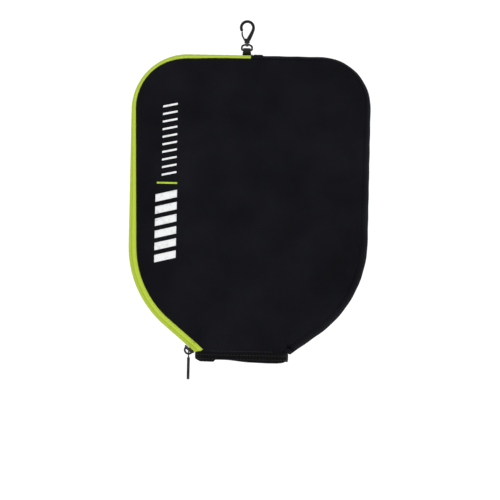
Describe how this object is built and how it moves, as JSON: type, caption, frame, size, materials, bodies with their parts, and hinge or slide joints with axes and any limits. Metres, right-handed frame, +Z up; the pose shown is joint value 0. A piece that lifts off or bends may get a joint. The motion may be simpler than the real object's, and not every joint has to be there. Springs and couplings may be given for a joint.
{
  "type": "pickleball paddle case",
  "caption": "Soft neoprene paddle case with a zip round one side, an open hemmed neck for the handle, and a swivel snap hook to hang it by.",
  "frame": {"origin": "inner top of the snap hook, where the case hangs", "axes": "+Z up along the case, front towards -Y, +X to the right seen from the front"},
  "size_m": [0.2292, 0.0408, 0.3459],
  "materials": {
    "neoprene": "matte knitted jersey laminated to neoprene foam",
    "binding": "folded elastic knit binding",
    "lime_tape": "woven polyester zip tape",
    "lime_coil": "nylon coil, satin",
    "black_metal": "black enamelled die-cast zinc, semi-gloss",
    "webbing": "woven polypropylene webbing",
    "thread": "bonded nylon thread",
    "white_ink": "heat-pressed ink",
    "lime_ink": "heat-pressed ink"
  },
  "bodies": {
    "hook": {"hook_frame": "black_metal", "gate_pin": "black_metal"},
    "gate": {"hook_gate": "black_metal"},
    "eye": {"swivel_eye": "black_metal", "swivel_rivet": "black_metal"},
    "shell": {"back_panel": "neoprene", "front_panel_fixed": "neoprene", "side_gusset": "neoprene", "gusset_end_fold": "neoprene", "zip_tape_back": "lime_tape", "zip_coil_back": "lime_coil", "zip_start_stop": "black_metal", "zip_end_stop_back": "black_metal", "hem_back": "binding", "hem_front_fixed": "binding", "hem_lobe_back": "binding", "hem_lobe_gusset": "binding", "webbing_loop": "webbing", "webbing_bartack": "thread"},
    "flap": {"front_panel_flap": "neoprene", "zip_tape_front": "lime_tape", "zip_coil_front": "lime_coil", "zip_end_stop_front": "black_metal", "hem_front_flap": "binding", "hem_lobe_front": "binding", "print_upper": "white_ink", "print_divider": "lime_ink", "print_lower": "white_ink"},
    "slider": {"slider_body": "black_metal", "slider_bail": "black_metal"},
    "puller": {"puller": "black_metal"}
  },
  "joints": [
    {"name": "gate_swing", "type": "hinge", "parent": "hook", "child": "gate", "pos_m": [-0.0025, 0, -0.0162], "axis": [0, 1, 0], "range_deg": [0, 40], "stiffness_Nm_per_rad": 0.01, "springref_deg": -17.19},
    {"name": "swivel", "type": "hinge", "parent": "hook", "child": "eye", "pos_m": [0, 0, -0.0199], "axis": [0, 0, 1], "continuous": true},
    {"name": "case_swing", "type": "hinge", "parent": "eye", "child": "shell", "pos_m": [0, 0, -0.02625], "axis": [1, 0, 0], "range_deg": [-80, 80]},
    {"name": "flap_open", "type": "hinge", "parent": "shell", "child": "flap", "pos_m": [0.00395, -0.0203, -0.1795], "axis": [0, 0, 1], "range_deg": [0, 135]},
    {"name": "zip_travel", "type": "slide", "parent": "shell", "child": "slider", "axis": [-0.7664, 0, 0.6424], "range_m": [0, 0.0354]},
    {"name": "puller_swing", "type": "hinge", "parent": "slider", "child": "puller", "pos_m": [-0.04969, 0, -0.31683], "axis": [0, 1, 0], "range_deg": [-35, 105]}
  ],
  "couplings": [
    {"joint": "zip_travel", "follows": "flap_open", "m_per_rad": 0.015}
  ]
}
